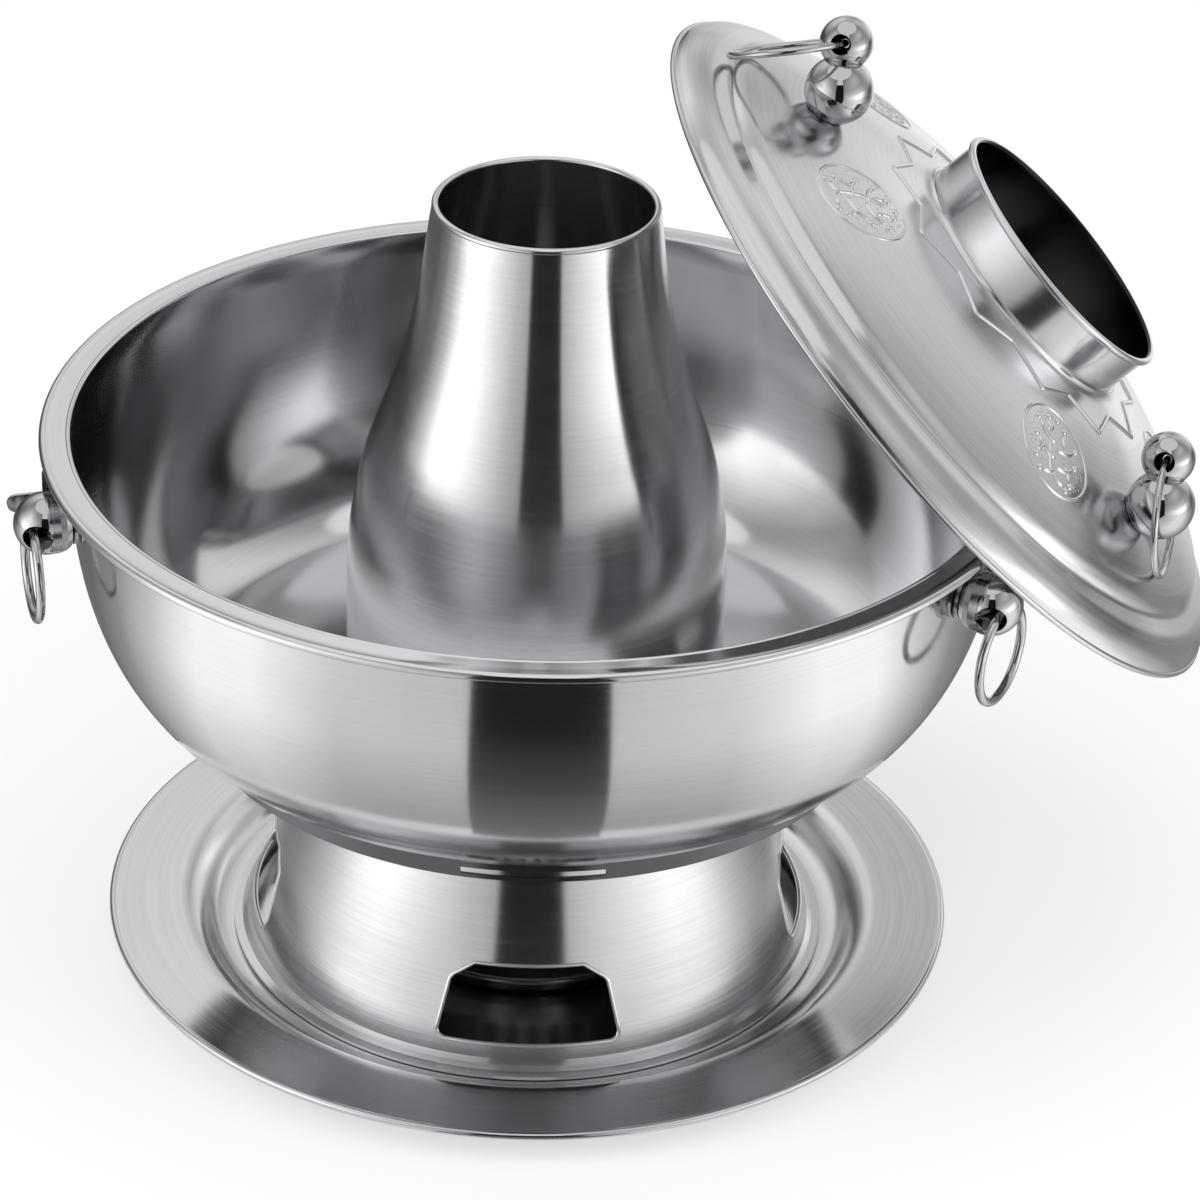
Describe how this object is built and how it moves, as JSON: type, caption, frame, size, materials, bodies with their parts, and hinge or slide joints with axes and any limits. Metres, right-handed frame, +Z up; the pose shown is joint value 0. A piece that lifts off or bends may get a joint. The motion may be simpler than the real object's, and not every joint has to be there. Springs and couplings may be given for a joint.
{
  "type": "chimney hot pot",
  "caption": "Steel tabletop hot pot: round bowl around a flared fire tube, on an air-holed cone stand in a drip tray, with a leaning domed lid and ring handles.",
  "frame": {"origin": "centre of the drip tray's flat underside, on the table", "axes": "+Z up along the fire tube's axis, -Y towards the air opening at the front, +X to the right, where the lid leans"},
  "size_m": [0.3954, 0.3398, 0.3087],
  "materials": {
    "hairline_steel": "circular hairline brushing",
    "polished_steel": "mirror polished stainless steel",
    "dark_steel": "heat-darkened steel",
    "fastener_steel": "plain turned steel"
  },
  "bodies": {
    "tray": {"drip_tray": "hairline_steel"},
    "ash_pan": {"ash_pan": "dark_steel"},
    "stand": {"stand_skirt": "hairline_steel", "stand_top_ring": "hairline_steel"},
    "pot": {"pot_bowl": "polished_steel", "foot_band": "polished_steel", "fire_tube": "hairline_steel", "grate_ledge": "dark_steel", "fire_grate": "dark_steel", "handle_seat_l": "polished_steel", "handle_seat_r": "polished_steel", "handle_bracket_l": "polished_steel", "handle_bracket_r": "polished_steel", "handle_ball_l": "polished_steel", "handle_ball_r": "polished_steel", "handle_screws": "fastener_steel", "handle_washers": "fastener_steel"},
    "ring_left": {"handle_ring_l": "polished_steel"},
    "ring_right": {"handle_ring_r": "polished_steel"},
    "lid": {"lid_shell": "hairline_steel", "lid_collar": "hairline_steel", "knob_base_l": "polished_steel", "knob_base_r": "polished_steel", "knob_head_l": "polished_steel", "knob_head_r": "polished_steel", "knob_screws": "fastener_steel", "knob_washers": "fastener_steel", "knob_dowels": "fastener_steel"},
    "lid_ring_upper": {"knob_ring_l": "polished_steel"},
    "lid_ring_lower": {"knob_ring_r": "polished_steel"}
  },
  "joints": [
    {"name": "ash_pan_lift", "type": "slide", "parent": "tray", "child": "ash_pan", "axis": [0, 0, 1], "range_m": [0, 0.012]},
    {"name": "stand_lift", "type": "slide", "parent": "tray", "child": "stand", "axis": [0, 0, 1], "range_m": [0, 0.15]},
    {"name": "pot_lift", "type": "slide", "parent": "stand", "child": "pot", "axis": [0, 0, 1], "range_m": [0, 0.15]},
    {"name": "lid_lift", "type": "slide", "parent": "pot", "child": "lid", "axis": [0, 0, 1], "range_m": [0, 0.25]},
    {"name": "ring_left_swing", "type": "hinge", "parent": "pot", "child": "ring_left", "pos_m": [-0.15938, -0.0427, 0.1694], "axis": [-0.2588, 0.9659, 0], "range_deg": [-20, 100]},
    {"name": "ring_right_swing", "type": "hinge", "parent": "pot", "child": "ring_right", "pos_m": [0.14289, -0.0825, 0.1694], "axis": [-0.5, -0.866, 0], "range_deg": [-20, 45]},
    {"name": "lid_ring_upper_swing", "type": "hinge", "parent": "lid", "child": "lid_ring_upper", "pos_m": [0.09494, 0.05211, 0.30002], "axis": [0.3075, 0.9094, -0.2801], "range_deg": [0, 150]},
    {"name": "lid_ring_lower_swing", "type": "hinge", "parent": "lid", "child": "lid_ring_lower", "pos_m": [0.19991, -0.01746, 0.18941], "axis": [-0.3075, -0.9094, 0.2801], "range_deg": [0, 150]}
  ]
}
